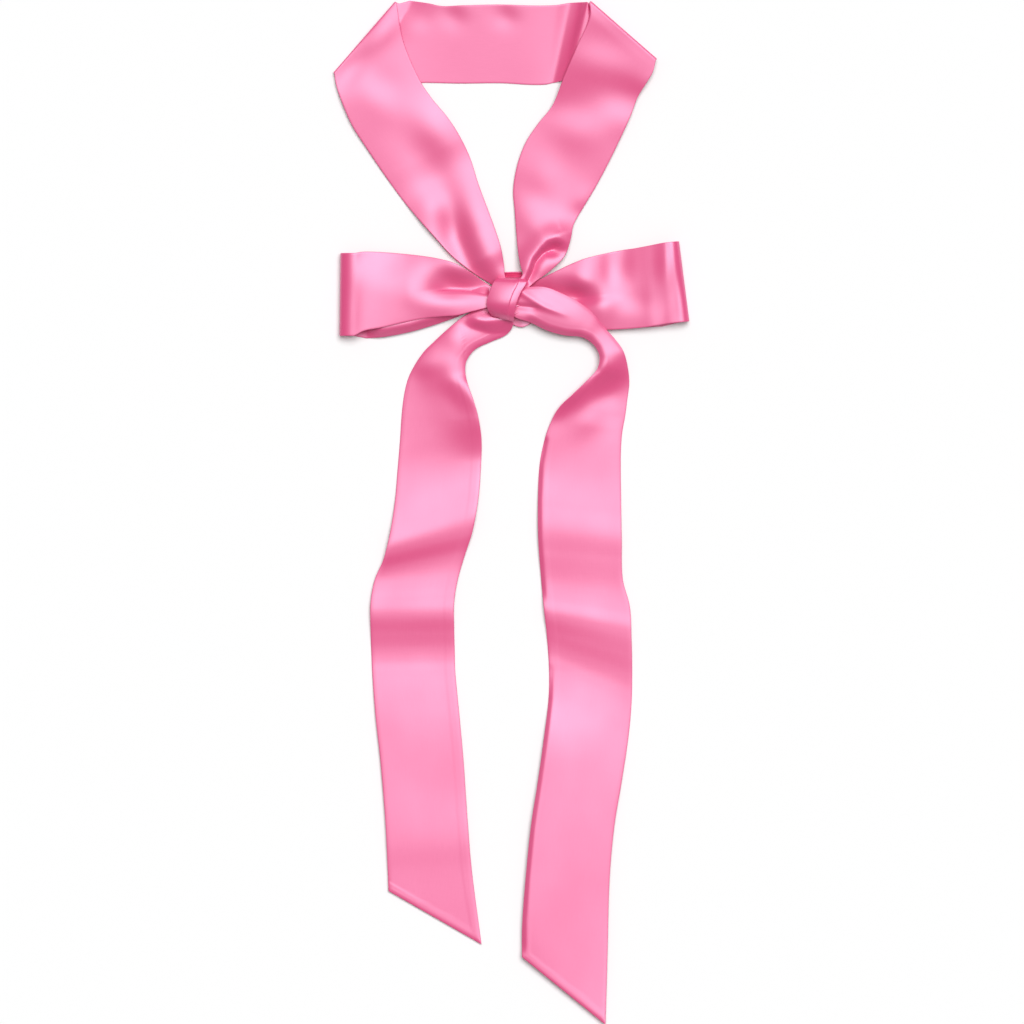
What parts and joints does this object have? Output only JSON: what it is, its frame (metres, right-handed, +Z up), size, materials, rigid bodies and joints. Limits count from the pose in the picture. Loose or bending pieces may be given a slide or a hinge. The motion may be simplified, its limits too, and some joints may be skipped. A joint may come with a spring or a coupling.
{
  "type": "ribbon scarf",
  "caption": "Plain satin ribbon scarf tied in a bow below an open neck loop, laid flat, with two long tails cut on the bias.",
  "frame": {"origin": "on the table under the middle of the knot, on the flat base of the knot's hidden layers", "axes": "+Z up from the table, +Y from the knot to the neck band, -Y along the tails, +X across to the right loop"},
  "size_m": [0.2163, 0.6222, 0.0144],
  "materials": {
    "satin": "glossy satin weave, pink"
  },
  "bodies": {
    "root": {"neck_band": "satin", "neck_left": "satin", "neck_right": "satin", "loop_left_front": "satin", "loop_left_back": "satin", "loop_right_front": "satin", "loop_right_back": "satin", "tail_left": "satin", "tail_right": "satin", "knot_core": "satin", "knot_band": "satin", "knot_under": "satin", "knot_tuck": "satin"}
  },
  "joints": []
}
